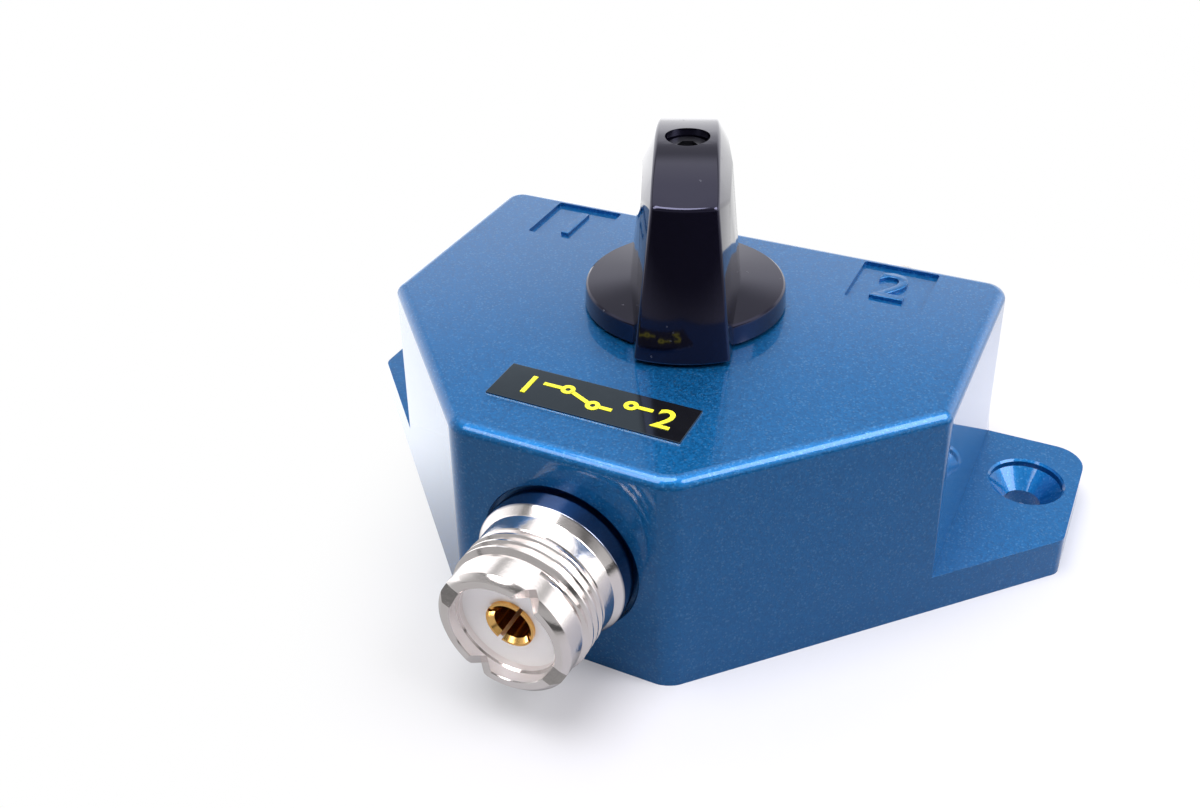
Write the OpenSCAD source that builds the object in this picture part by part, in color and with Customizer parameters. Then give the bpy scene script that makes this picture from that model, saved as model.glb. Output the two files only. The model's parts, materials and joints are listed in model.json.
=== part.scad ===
// Two-way coaxial antenna switch: a die-cast box with one common socket in front,
// two switched sockets behind, and a bar knob that turns a rotor between them.
// X runs to the right, Y to the back and Z up. The origin is on the underside,
// at the middle of the overall length and width.

/* [Housing] */
// Height of the casting
body_h = 27.3; // [26:0.1:32]
// Width across the two parallel side walls, at the top
body_w = 68.5; // [66:0.5:76]
// Width of the front wall, at the top
front_w = 24.7; // [23:0.1:28]
// Depth from the front wall to the back wall, at the top
body_d = 52.4; // [50:0.2:60]
// Length of the two parallel side walls
side_l = 29.9; // [29:0.1:31]
// Outward slope of the walls towards the underside, in mm per mm
draft = 0.031; // [0:0.001:0.04]
// Thickness of the roof
roof_t = 3; // [2.6:0.1:3.4]
// Thickness of the walls, at the top
wall_t = 3.2; // [3:0.1:3.6]
// Rounding of the top edge
top_r = 1.3; // [0.6:0.1:1.6]

/* [Fixing ears] */
// Width across the two ears
ears_w = 94.5; // [92:0.5:100]
// Thickness of the ears
ear_t = 5.15; // [4.6:0.05:6]
// Distance of the fixing holes from the outer ends of the ears
hole_edge = 5.95; // [5.6:0.05:6.2]
// Distance of the fixing holes from the back edge of the casting
hole_back = 8.2; // [7.8:0.1:11]
// Radius of the fixing holes
hole_r = 2.15; // [1.6:0.05:2.6]
// Radius of the sunk seat for the screw head
seat_r = 4.35; // [3.8:0.05:4.6]
// Material left under the sunk seat
seat_floor = 2; // [1.2:0.1:2.4]

/* [Sockets] */
// Height of the front socket's axis and of the contacts above the underside
socket_z = 13.64; // [13.2:0.02:14]
// Height of the rear sockets' axes above the underside
rear_z = 12.8; // [12.6:0.02:13.2]
// Distance between the two rear sockets
rear_pitch = 37; // [36:0.5:40]
// Radius of the shell's shoulder
shoulder_r = 8.59; // [8.3:0.01:8.8]
// Length of the shoulder outside the wall
shoulder_l = 2.29; // [1.8:0.01:2.6]
// Length of the whole shell outside the wall
reach = 12.57; // [12:0.01:14]
// Length of the shell inside the wall's outer face
shell_in = 4.4; // [4.2:0.1:4.8]
// Major radius of the thread
thread_r = 7.9375; // [7.7:0.0125:8]
// Pitch of the thread
thread_pitch = 1.058; // [0.9:0.001:1.2]
// Number of ridges of the thread
ridges = 6; // [4:1:7]
// Radius of the mouth that takes the plug
mouth_r = 5.92; // [5.8:0.01:6.1]
// Outer radius of the rim
rim_r = 6.87; // [6.7:0.01:7]
// Depth from the rim to the ledge that stops the plug's collar
seat_d = 1.5; // [1.2:0.05:1.6]
// Depth from the rim to the tip of the centre contact
contact_d = 1.75; // [1.7:0.05:2.2]
// Depth from the rim to the insulator
mouth_d = 2.2; // [1.9:0.1:3.4]
// Width of each V-shaped notch in the rim
notch_w = 2.8; // [2:0.05:3]
// Outer radius of the centre contact
contact_r = 2.7; // [2.6:0.05:3]
// Radius of the hole in the centre contact
contact_bore_r = 2; // [1.9:0.02:2.1]
// Depth of the hole in the centre contact
contact_bore_l = 11; // [9:0.1:12]

/* [Marks] */
// Width of the label plate
label_w = 22.5; // [18:0.5:24]
// Height of the label plate
label_h = 6.1; // [5:0.1:7]
// Distance of the label plate's middle from the front edge
label_in = 9.25; // [8.2:0.05:10.2]
// Side of the sunk square pads
pad_w = 9.3; // [8:0.1:10]
// Distance of the pads' middles from the symmetry plane
pad_x = 21.5; // [20:0.1:24]
// Depth of the pads
pad_d = 0.5; // [0.3:0.1:0.8]
// Height of the numbers
digit_h = 6; // [5:0.1:7]

/* [Knob] */
// Distance of the knob's axis in front of the casting's back edge
knob_back = 19.34; // [18.8:0.02:20.6]
// Angle that the knob turns through
throw = 43; // [40:0.5:45]
// Radius of the round skirt
skirt_r = 11.9; // [11:0.1:12.4]
// Height of the round skirt
skirt_h = 2.4; // [2:0.1:3]
// Radius that the bar's ends reach at the foot
bar_r = 15.1; // [14.4:0.1:15.6]
// Radius that the bar's ends reach at the shoulder
bar_top_r = 12.95; // [12.4:0.05:13.4]
// Width of the bar's top strip
bar_top_w = 7; // [6.6:0.1:8]
// Width of the bar at its middle
bar_w = 13.5; // [12.4:0.1:14]
// Height of the knob from the casting to its crown
knob_h = 20.7; // [19:0.1:23]
// Gap between the knob and the casting
knob_gap = 0.4; // [0.3:0.05:0.7]
// Radius of the screw's hole in the knob
screw_hole_r = 2.5; // [2.3:0.05:2.8]

/* [Rotor] */
// Radius of the shaft
shaft_r = 3; // [2.8:0.05:3.2]
// Radius to the tips of the rotor's arm and fingers
arm_r = 13.3; // [12.6:0.1:13.6]
// Width of the arm and the fingers
arm_w = 3; // [2.4:0.1:3.4]
// Height of the contact ring and the arm
ring_h = 4.5; // [4:0.1:4.8]
// Radius of the detent wheel
wheel_r = 8.5; // [8:0.1:9]
// Gap where a sliding contact rests
contact_gap = 0.1; // [0.05:0.01:0.2]
// Running clearance of the shaft in its bearings
shaft_play = 0.05; // [0.02:0.01:0.08]

/* [Hidden] */
$fn = 64;
facets = 6;
skin = 0.01;

// Places that follow the casting's edges
knob_y = body_d / 2 - knob_back;
label_y = body_d / 2 - label_in;
hole_x = ears_w / 2 - hole_edge;
hole_y = body_d / 2 - hole_back;

// Fixed small sizes
cover_t = 1.8;
cover_sunk = 0.2;
cover_play = 0.15;
ledge = 1.2;
post_r = 3;
post_bite = 0.6;
screw_r = 1.25;
screw_hole = 1.6;
screw_head_r = 2.8;
screw_l = 9;
front_corner_r = 3.5;
side_corner_r = 1.5;
back_corner_r = 2.5;
ear_corner_r = 3.75;
ear_edge_r = 0.8;
ear_overlap = 4;
gap_r = 0.46;
gap_d = 1;
label_t = 0.3;
label_off = -0.5;
pad_back = 1.4;
stroke = 1.1;
digit_low = 0.1;

// Sockets
wall_y = body_d / 2 + draft * (body_h - socket_z);
rear_wall_y = body_d / 2 + draft * (body_h - rear_z);
root_r = thread_r - 0.61 * thread_pitch;
neck_r = 7.1;
neck_l = 0.9;
lead_r = 7.25;
shoulder_edge = 0.3;
thread_z = shoulder_l + neck_l;
lead_z = thread_z + ridges * thread_pitch;
insulator_z = reach - mouth_d;
bore_step = 0.22;
bore_r = mouth_r - bore_step;
step_z = 1;
step_r = 7;
insulator_in = shell_in - 0.8;
contact_z = reach - contact_d;
contact_edge = 0.45;
slit_w = 0.45;
slit_l = 6.5;
tail_r = 1.6;
pin_r = 1;
notch_angle = 61;
notch_n = 4;

// Stack of pieces along the shaft, from the signal plane up and down
strip_h = ring_h - 0.5;
ring_z = socket_z - ring_h / 2;
flange_t = 2.9;
cheek_t = 1.6;
ground_t = 2.2;
clip_t = 0.6;
wheel_t = 1.8;
washer_t = 0.6;
bush_flange_t = 1;
insulator_low = ring_z - flange_t;
ground_z = insulator_low - ground_t;
cheek_z = ring_z + ring_h;
wheel_z = cheek_z + cheek_t;
washer_z = wheel_z + wheel_t;
bush_z = washer_z + washer_t + shaft_play;
boss_z = bush_z + bush_flange_t;
roof_z = body_h - roof_t;
bush_top = body_h - 0.05;
clip_top_z = body_h + shaft_play;
groove_r = shaft_r - 0.6;
clip_r = shaft_r + 2;
clip_mouth = 2 * groove_r - 1;
bush_r = shaft_r + 2;
bush_flange_r = bush_r + 1.6;
boss_r = bush_r + 3.5;
pivot_r = shaft_r - 1;
pivot_z = cover_t + 0.6;
pivot_top = cover_t + 3.2;
pivot_boss_top = pivot_top - 0.4;
pivot_boss_r = pivot_r + 2.5;
sleeve_r = shaft_r + 0.9;
ring_r = sleeve_r + 0.9;
flange_r = ring_r + 0.7;
hub_r = shaft_r + 3;
finger_t = 1.4;
finger_top = socket_z + 1.5;

// Stops, detent and fixed contacts
stop_r = 1.6;
stop_ring_r = wheel_r + stop_r + 0.3;
tab_w = 3;
tab_r = stop_ring_r + stop_r;
stop_angle = throw / 2 + asin((stop_r + tab_w / 2 + shaft_play) / stop_ring_r);
stop_low = wheel_z - 0.3;
notch_r = 1.5;
notch_out = 0.5;
spring_t = 0.4;
spring_y = knob_y + wheel_r + notch_out;
nose_r = notch_r - 0.2;
spring_h = wheel_t + 0.8;
spring_z = wheel_z - 0.4;
spring_end = 2.6;
foot_x = 12.5;
foot_w = 6;
foot_l = 6;
foot_z = spring_z + spring_h;
spring_boss_r = 2.6;
small_head_r = 2.2;
small_head_t = 1.6;
small_screw_l = 5;
leaf_t = 0.6;
leaf_y = knob_y + arm_r + contact_gap + 0.15;
leaf_end = rear_pitch / 2 + tail_r + 0.9;
button_w = 4.2;
button_d = 2.6;
button_x = (arm_r + contact_gap) * sin(throw / 2);
bar_t = 0.8;
bar_seat = 2;
shoe_w = 4;
shoe_t = 1.2;
front_tail_l = 4;
front_tail_y = wall_y - insulator_in - front_tail_l;

// Knob, measured from its underside
knob_low = body_h + knob_gap;
knob_top = body_h + knob_h;
knob_shoulder = knob_top - 2.65;
knob_kink = knob_top - 1.2;
rim_in = 0.4;
dome_h = 0.6;
dome_r = 5;
bar_foot_w = 10.5;
bar_mid_w = bar_top_w + 3.1;
arch_steps = 4;
clip_room_r = clip_r + 1.2;
clip_room_h = 1.3;
flat_x = 2.3;
shaft_grip = 12.3;
shaft_top = knob_low + shaft_grip;
flat_z = knob_low + clip_room_h + 0.2;
screw_sunk = 1;
screw_head_top = knob_top - screw_sunk;
screw_head_h = 2.5;
hex_w = 2;
hex_d = 1.4;
knob_screw_r = 1.25;
knob_screw_head_r = screw_hole_r - 0.25;
tap_l = 8;
knob_screw_end = shaft_top - tap_l;

function unit(v) = v / norm(v);

// Where the line through p along u meets the line through q along v
function meet(p, u, q, v) = p + u * cross(q - p, v) / cross(u, v);

// A convex outline, anticlockwise, with every side moved inwards by d
function inset(pts, d) = let (n = len(pts)) [
    for (i = [0:n - 1])
        let (u = unit(pts[i] - pts[(i + n - 1) % n]), v = unit(pts[(i + 1) % n] - pts[i]))
            meet(pts[i] + d * [-u.y, u.x], u, pts[i] + d * [-v.y, v.x], v)
];

// The same outline with rounded corners, as a ring of points at height z
function rounded(pts, radii, d, z) = let (n = len(pts)) [
    for (i = [0:n - 1])
        let (
            u = unit(pts[i] - pts[(i + n - 1) % n]),
            v = unit(pts[(i + 1) % n] - pts[i]),
            r = max(radii[i] - d, 0.1),
            c = inset(pts, d + r)[i],
            from = atan2(-u.x, u.y),
            turn = (atan2(-v.x, v.y) - from + 360) % 360
        )
            for (k = [0:facets])
                let (a = from + turn * k / facets)
                    [c.x + r * cos(a), c.y + r * sin(a), z]
];

// Plan of the walls at the top of the casting, widened to half width w
wall_slope = (body_d - side_l) / (body_w - front_w) * 2;
function plan(w) = [
    [-front_w / 2, -body_d / 2],
    [front_w / 2, -body_d / 2],
    [w, -body_d / 2 + (w - front_w / 2) * wall_slope],
    [w, body_d / 2],
    [-w, body_d / 2],
    [-w, -body_d / 2 + (w - front_w / 2) * wall_slope]
];
body_plan = plan(body_w / 2);
inner_plan = inset(body_plan, wall_t);
ear_half = ears_w / 2 - draft * (body_h - ear_t);
ear_plan = [
    [body_w / 2 - ear_overlap, body_plan[2].y - ear_overlap * wall_slope],
    [ear_half, -body_d / 2 + (ear_half - front_w / 2) * wall_slope],
    [ear_half, body_d / 2],
    [body_w / 2 - ear_overlap, body_d / 2]
];

// Places of the cover's screws on the right-hand side
slant_in = unit([body_plan[1].y - body_plan[2].y, body_plan[2].x - body_plan[1].x]);
cover_screw_xy = [
    [body_w / 2 - wall_t - post_r + post_bite, body_d / 2 - shell_in - post_r - 1.5],
    (inner_plan[1] + inner_plan[2]) / 2 + slant_in * (post_r - post_bite)
];

// A block with drafted walls, rounded corners and a rounded top edge
module cast_block(pts, radii, top, edge_r) {
    steps = [0, 30, 60, 90];
    rings = concat(
        [rounded(pts, radii, -draft * body_h, 0)],
        [for (a = steps)
            let (z = top - edge_r * (1 - sin(a)))
                rounded(pts, radii, edge_r * (1 - cos(a)) - draft * (body_h - z), z)]
    );
    n = len(rings[0]);
    last = len(rings) - 1;
    faces = concat(
        [[for (i = [0:n - 1]) i]],
        [[for (i = [0:n - 1]) last * n + n - 1 - i]],
        [for (k = [0:last - 1], i = [0:n - 1])
            [k * n + i, (k + 1) * n + i, (k + 1) * n + (i + 1) % n]],
        [for (k = [0:last - 1], i = [0:n - 1])
            [k * n + i, (k + 1) * n + (i + 1) % n, k * n + (i + 1) % n]]
    );
    polyhedron(points = [for (ring = rings) each ring], faces = faces, convexity = 4);
}

module both_sides() {
    children();
    mirror([1, 0, 0]) children();
}

// Places a piece whose +Z runs outwards along a socket's axis
module at_front_socket() {
    translate([0, -wall_y, socket_z]) rotate([90, 0, 0]) children();
}

module at_rear_socket(side) {
    translate([side * rear_pitch / 2, rear_wall_y, rear_z]) rotate([-90, 0, 0]) children();
}

module at_sockets() {
    at_front_socket() children();
    for (side = [-1, 1]) at_rear_socket(side) children();
}

module on_axis(angle = 0) {
    translate([0, knob_y, 0]) rotate(angle) children();
}

// Rotor pieces are drawn with their arm along +Y and shown at position 1
module on_rotor() {
    on_axis(throw / 2) children();
}

module tube(r_out, r_in, h) {
    difference() {
        cylinder(r = r_out, h = h);
        translate([0, 0, -1]) cylinder(r = r_in, h = h + 2);
    }
}

module digit_one(h) {
    translate([-stroke / 2, -h / 2, 0]) cube([stroke, h, pad_d - digit_low]);
    linear_extrude(pad_d - digit_low)
        polygon([
            [0, h / 2],
            [-stroke * 1.7, h / 2 - stroke * 1.4],
            [-stroke * 1.7, h / 2 - stroke * 2.4],
            [0, h / 2 - stroke * 1.3]
        ]);
}

module digit_two(h) {
    bow_r = h * 0.29;
    bow_y = h / 2 - bow_r;
    bow_end = -35;
    bite = stroke / 4;
    t = pad_d - digit_low;
    translate([0, bow_y, 0])
        difference() {
            tube(bow_r, bow_r - stroke, t);
            rotate(bow_end) translate([-h, -h, -1]) cube([2 * h, h, t + 2]);
            rotate(bow_end) translate([-h, -skin, -1]) cube([h - bow_r / 3, bow_r / 3, t + 2]);
        }
    linear_extrude(t)
        polygon([
            [-bow_r, -h / 2 + bite],
            [-bow_r + stroke * 1.5, -h / 2 + bite],
            [(bow_r - bite) * cos(bow_end / 2), bow_y + (bow_r - bite) * sin(bow_end / 2)],
            [(bow_r - stroke + bite) * cos(bow_end / 2), bow_y + (bow_r - stroke + bite) * sin(bow_end / 2)]
        ]);
    translate([-bow_r, -h / 2, 0]) cube([2 * bow_r, stroke, t]);
}

module cavity() {
    translate([0, 0, cover_t - skin]) linear_extrude(roof_z - cover_t + skin) polygon(inner_plan);
    translate([0, 0, -1]) linear_extrude(cover_t + 1) polygon(inset(body_plan, wall_t - ledge));
}

module ear_hole() {
    cone_h = seat_r - hole_r;
    translate([hole_x, hole_y, 0]) {
        translate([0, 0, -1]) cylinder(r = hole_r, h = ear_t + 2);
        translate([0, 0, seat_floor]) cylinder(r1 = hole_r, r2 = seat_r, h = cone_h);
        translate([0, 0, seat_floor + cone_h]) cylinder(r = seat_r, h = ear_t);
    }
}

module housing() {
    color([0.2, 0.45, 0.7])
        difference() {
            union() {
                difference() {
                    union() {
                        cast_block(
                            body_plan,
                            [front_corner_r, front_corner_r, side_corner_r,
                             back_corner_r, back_corner_r, side_corner_r],
                            body_h, top_r
                        );
                        both_sides()
                            cast_block(
                                ear_plan,
                                [side_corner_r, side_corner_r, ear_corner_r, side_corner_r],
                                ear_t, ear_edge_r
                            );
                    }
                    cavity();
                }
                on_axis() translate([0, 0, boss_z]) cylinder(r = boss_r, h = body_h - 1 - boss_z);
                for (side = [-1, 1])
                    on_axis(side * stop_angle)
                        translate([0, -stop_ring_r, stop_low])
                            cylinder(r = stop_r, h = body_h - 1 - stop_low);
                translate([foot_x, spring_y + foot_l / 2, foot_z])
                    cylinder(r = spring_boss_r, h = body_h - 1 - foot_z);
                both_sides()
                    for (p = cover_screw_xy)
                        translate([p.x, p.y, cover_t]) cylinder(r = post_r, h = roof_z + 1 - cover_t);
            }
            both_sides() ear_hole();
            on_axis() translate([0, 0, boss_z - 1]) cylinder(r = bush_r, h = body_h);
            translate([foot_x, spring_y + foot_l / 2, foot_z - 1])
                cylinder(r = screw_r, h = small_screw_l + 1);
            both_sides()
                for (p = cover_screw_xy)
                    translate([p.x, p.y, cover_t - 1]) cylinder(r = screw_r, h = screw_l + 1);
            at_sockets() {
                translate([0, 0, -2 * wall_t]) cylinder(r = shoulder_r, h = 4 * wall_t);
                translate([0, 0, -gap_d]) cylinder(r = shoulder_r + gap_r, h = 2 * wall_t);
            }
            for (side = [-1, 1])
                translate([side * pad_x - pad_w / 2, body_d / 2 - pad_back - pad_w, body_h - pad_d])
                    cube([pad_w, pad_w, 1]);
        }
    color([0.2, 0.45, 0.7])
        translate([0, body_d / 2 - pad_back - pad_w / 2, body_h - pad_d]) {
            translate([-pad_x, 0, 0]) digit_one(digit_h);
            translate([pad_x, 0, 0]) digit_two(digit_h);
        }
}

module bottom_cover() {
    color([0.6, 0.62, 0.65])
        difference() {
            union() {
                translate([0, 0, cover_sunk])
                    linear_extrude(cover_t - cover_sunk)
                        polygon(inset(body_plan, wall_t - ledge + cover_play));
                on_axis() translate([0, 0, 1]) cylinder(r = pivot_boss_r, h = pivot_boss_top - 1);
            }
            on_axis() translate([0, 0, pivot_z - 0.2]) cylinder(r = pivot_r + shaft_play, h = body_h);
            both_sides()
                for (p = cover_screw_xy)
                    translate([p.x, p.y, 0]) {
                        cylinder(r = screw_hole, h = 2 * cover_t);
                        translate([0, 0, cover_sunk])
                            cylinder(
                                r1 = screw_head_r + 0.1,
                                r2 = screw_hole,
                                h = screw_head_r + 0.1 - screw_hole
                            );
                    }
        }
}

module cover_screws() {
    head_h = screw_head_r - screw_hole;
    color([0.75, 0.75, 0.78])
        both_sides()
            for (p = cover_screw_xy)
                translate([p.x, p.y, cover_sunk])
                    difference() {
                        union() {
                            cylinder(r1 = screw_head_r, r2 = screw_hole - 0.1, h = head_h);
                            cylinder(r = screw_r, h = screw_l);
                        }
                        for (a = [0, 90])
                            rotate(a) translate([-1.4, -0.3, -1]) cube([2.8, 0.6, 1.8]);
                    }
}

module label_plate() {
    color([0.08, 0.08, 0.09])
        translate([label_off - label_w / 2, -label_y - label_h / 2, body_h])
            cube([label_w, label_h, label_t]);
}

// Outline of a shell, from its inner end outwards
shell_outline = concat(
    [[step_r, -shell_in], [shoulder_r, -shell_in], [shoulder_r, shoulder_l - shoulder_edge],
     [shoulder_r - shoulder_edge, shoulder_l], [neck_r, shoulder_l], [neck_r, thread_z]],
    [for (i = [0:ridges - 1])
        each [[root_r, thread_z + i * thread_pitch],
              [thread_r, thread_z + (i + 0.42) * thread_pitch],
              [thread_r, thread_z + (i + 0.58) * thread_pitch]]],
    [[root_r, lead_z], [lead_r, lead_z], [lead_r, reach - (lead_r - rim_r)], [rim_r, reach],
     [mouth_r, reach], [mouth_r, reach - seat_d], [bore_r, reach - seat_d], [bore_r, step_z],
     [step_r, step_z]]
);

module socket_shell() {
    color([0.82, 0.81, 0.78])
        difference() {
            rotate_extrude() polygon(shell_outline);
            for (k = [0:notch_n - 1])
                rotate(notch_angle + k * 360 / notch_n)
                    translate([(rim_r + mouth_r) / 2, 0, reach])
                        rotate([45, 0, 0])
                            cube(
                                [3 * (lead_r - mouth_r), notch_w / sqrt(2), notch_w / sqrt(2)],
                                center = true
                            );
        }
}

module insulator() {
    color([0.9, 0.9, 0.88])
        rotate_extrude()
            polygon([
                [contact_r, -insulator_in], [step_r, -insulator_in], [step_r, step_z],
                [bore_r, step_z], [bore_r, insulator_z], [contact_r, insulator_z]
            ]);
}

// Slit socket contact; its solder tail is left to the caller
module contact(tail_end) {
    difference() {
        union() {
            translate([0, 0, -insulator_in]) cylinder(r = contact_r, h = insulator_in + contact_z);
            translate([0, 0, -tail_end]) cylinder(r = tail_r, h = tail_end);
        }
        translate([0, 0, contact_z - contact_bore_l]) cylinder(r = contact_bore_r, h = reach);
        translate([0, 0, contact_z - contact_edge])
            cylinder(r1 = contact_bore_r, r2 = contact_bore_r + contact_edge, h = contact_edge);
        for (a = [0, 90])
            rotate(a + notch_angle)
                translate([-slit_w / 2, -reach, contact_z - slit_l])
                    cube([slit_w, 2 * reach, reach]);
    }
}

module front_contact() {
    color([0.9, 0.75, 0.35])
        difference() {
            at_front_socket() contact(wall_y - front_tail_y);
            translate([-bar_t / 2, -front_tail_y - bar_seat, socket_z - tail_r - 1])
                cube([bar_t, bar_seat + 1, 2 * tail_r + 2]);
        }
}

module rear_contact(side) {
    color([0.9, 0.75, 0.35]) {
        at_rear_socket(side) contact(rear_wall_y - leaf_y - leaf_t);
        translate([side * rear_pitch / 2, leaf_y - pin_r, rear_z])
            rotate([-90, 0, 0]) cylinder(r = pin_r, h = leaf_t + 2 * pin_r);
    }
}

module common_bar() {
    start = -front_tail_y - bar_seat;
    shoe_in = knob_y - sqrt(pow(ring_r + contact_gap, 2) - pow(shoe_w / 2, 2));
    face_y = knob_y - ring_r - contact_gap - shoe_t;
    color([0.85, 0.83, 0.78])
        difference() {
            union() {
                translate([-bar_t / 2, start, socket_z - strip_h / 2])
                    cube([bar_t, face_y - start + 0.2, strip_h]);
                translate([-shoe_w / 2, face_y, socket_z - strip_h / 2])
                    cube([shoe_w, shoe_in - face_y, strip_h]);
            }
            on_axis() cylinder(r = ring_r + contact_gap, h = body_h);
        }
}

module output_leaf(side) {
    color([0.85, 0.83, 0.78])
        difference() {
            translate([side > 0 ? button_x - button_w / 2 : -leaf_end, leaf_y, socket_z - strip_h / 2])
                cube([leaf_end - button_x + button_w / 2, leaf_t, strip_h]);
            translate([side * rear_pitch / 2, leaf_y - 1, rear_z])
                rotate([-90, 0, 0]) cylinder(r = pin_r, h = leaf_t + 2);
        }
}

module contact_button(side) {
    color([0.92, 0.92, 0.9])
        difference() {
            translate([side * button_x - button_w / 2, leaf_y - button_d, socket_z - strip_h / 2 + 0.4])
                cube([button_w, button_d, strip_h - 0.8]);
            on_axis() cylinder(r = arm_r + contact_gap, h = body_h);
        }
}

module shaft_bush() {
    color([0.75, 0.6, 0.35])
        on_axis()
            difference() {
                union() {
                    translate([0, 0, bush_z]) cylinder(r = bush_flange_r, h = bush_flange_t);
                    translate([0, 0, bush_z]) cylinder(r = bush_r, h = bush_top - bush_z);
                }
                cylinder(r = shaft_r + shaft_play, h = 2 * body_h);
            }
}

module detent_spring() {
    color([0.7, 0.72, 0.75]) {
        translate([0, spring_y, spring_z])
            linear_extrude(spring_h) {
                difference() {
                    circle(r = nose_r);
                    circle(r = nose_r - spring_t);
                    translate([-nose_r - 1, spring_t]) square([2 * nose_r + 2, nose_r + 1]);
                }
                translate([nose_r - spring_t, 0])
                    square([foot_x + foot_w / 2 - nose_r + spring_t, spring_t]);
                translate([-spring_end, 0]) square([spring_end - nose_r + spring_t, spring_t]);
            }
        difference() {
            translate([foot_x - foot_w / 2, spring_y, foot_z - spring_t])
                cube([foot_w, foot_l, spring_t]);
            translate([foot_x, spring_y + foot_l / 2, 0]) cylinder(r = screw_r, h = body_h);
        }
    }
}

module detent_screw() {
    head_z = foot_z - spring_t - small_head_t;
    color([0.75, 0.75, 0.78])
        translate([foot_x, spring_y + foot_l / 2, head_z])
            difference() {
                union() {
                    cylinder(r = small_head_r, h = small_head_t);
                    cylinder(r = screw_r, h = small_head_t + spring_t + small_screw_l - 0.4);
                }
                translate([-small_head_r - 1, -0.3, -1]) cube([2 * small_head_r + 2, 0.6, 1.7]);
            }
}

module switch_shaft() {
    color([0.78, 0.78, 0.8])
        on_rotor()
            difference() {
                union() {
                    translate([0, 0, pivot_z]) cylinder(r = pivot_r, h = pivot_top - pivot_z + 1);
                    translate([0, 0, pivot_top]) cylinder(r = shaft_r, h = shaft_top - pivot_top);
                }
                for (z = [ground_z - clip_t, clip_top_z])
                    translate([0, 0, z]) tube(shaft_r + 1, groove_r, clip_t);
                translate([flat_x, -shaft_r - 1, flat_z]) cube([shaft_r, 2 * shaft_r + 2, body_h]);
                translate([0, 0, knob_screw_end]) cylinder(r = knob_screw_r, h = body_h);
            }
}

module shaft_clip(z) {
    color([0.6, 0.6, 0.62])
        on_rotor()
            translate([0, 0, z])
                difference() {
                    tube(clip_r, groove_r, clip_t);
                    translate([-clip_mouth / 2, -clip_r - 1, -1]) cube([clip_mouth, clip_r + 1, clip_t + 2]);
                }
}

module ground_rotor() {
    color([0.8, 0.7, 0.4])
        on_rotor()
            translate([0, 0, ground_z])
                difference() {
                    union() {
                        cylinder(r = hub_r, h = ground_t);
                        for (side = [-1, 1])
                            rotate(side * throw)
                                intersection() {
                                    union() {
                                        translate([-arm_w / 2, 0, 0]) cube([arm_w, arm_r, ground_t]);
                                        translate([-arm_w / 2, arm_r - finger_t, 0])
                                            cube([arm_w, finger_t, finger_top - ground_z]);
                                    }
                                    cylinder(r = arm_r, h = body_h);
                                }
                    }
                    translate([0, 0, -1]) cylinder(r = shaft_r, h = ground_t + 2);
                }
}

module rotor_insulator() {
    color([0.93, 0.93, 0.9])
        on_rotor()
            difference() {
                union() {
                    translate([0, 0, insulator_low]) cylinder(r = flange_r, h = flange_t);
                    translate([0, 0, insulator_low]) cylinder(r = sleeve_r, h = wheel_z - insulator_low);
                }
                cylinder(r = shaft_r, h = body_h);
            }
}

module rotor_contact() {
    color([0.9, 0.9, 0.88])
        on_rotor()
            translate([0, 0, ring_z])
                difference() {
                    union() {
                        cylinder(r = ring_r, h = ring_h);
                        intersection() {
                            translate([-arm_w / 2, 0, 0]) cube([arm_w, arm_r, ring_h]);
                            cylinder(r = arm_r, h = ring_h);
                        }
                    }
                    translate([0, 0, -1]) cylinder(r = sleeve_r, h = ring_h + 2);
                }
}

module rotor_washer() {
    color([0.93, 0.93, 0.9]) on_rotor() translate([0, 0, cheek_z]) tube(flange_r, sleeve_r, cheek_t);
}

module detent_wheel() {
    color([0.75, 0.76, 0.78])
        on_rotor()
            translate([0, 0, wheel_z])
                difference() {
                    union() {
                        cylinder(r = wheel_r, h = wheel_t);
                        translate([-tab_w / 2, -tab_r, 0]) cube([tab_w, tab_r, wheel_t]);
                    }
                    translate([0, 0, -1]) cylinder(r = shaft_r, h = wheel_t + 2);
                    for (side = [-1, 1])
                        rotate(side * throw / 2)
                            translate([0, wheel_r + notch_out, -1]) cylinder(r = notch_r, h = wheel_t + 2);
                }
}

module thrust_washer() {
    color([0.85, 0.7, 0.4])
        on_rotor() translate([0, 0, washer_z]) tube(bush_r + 0.6, shaft_r + shaft_play, washer_t);
}

// Edge points of the bar's top strip at one side; the strip is arched along its length
function strip_edge(side) = let (
    half_l = sqrt(pow(bar_top_r, 2) - pow(bar_top_w / 2, 2)),
    drop = knob_top - knob_shoulder,
    arch_r = (pow(half_l, 2) + pow(drop, 2)) / (2 * drop)
) [
    for (k = [-arch_steps:arch_steps])
        let (y = half_l * k / arch_steps)
            [side * bar_top_w / 2, y, knob_top - arch_r + sqrt(pow(arch_r, 2) - pow(y, 2))]
];

module knob_bar() {
    foot_y = sqrt(pow(bar_r, 2) - pow(bar_foot_w / 2, 2));
    foot = [for (sx = [-1, 1], sy = [-1, 1]) [sx * bar_foot_w / 2, sy * foot_y, knob_low]];
    ends = [for (sy = [-1, 1]) [0, sy * (bar_r + 1), knob_low]];
    top_ends = [for (sy = [-1, 1]) [0, sy * (bar_top_r + 0.6), knob_shoulder]];
    waist = [for (sx = [-1, 1]) each [
        [sx * bar_w / 2, 0, knob_low],
        [sx * bar_mid_w / 2, 0, knob_kink]
    ]];
    intersection() {
        hull()
            for (p = concat(foot, ends, top_ends, waist, strip_edge(-1), strip_edge(1)))
                translate(p) cube(skin, center = true);
        translate([0, 0, knob_low])
            cylinder(
                r1 = bar_r,
                r2 = bar_r + (bar_top_r - bar_r) * (knob_h - knob_gap) / (knob_shoulder - knob_low),
                h = knob_h - knob_gap
            );
    }
}

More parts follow.
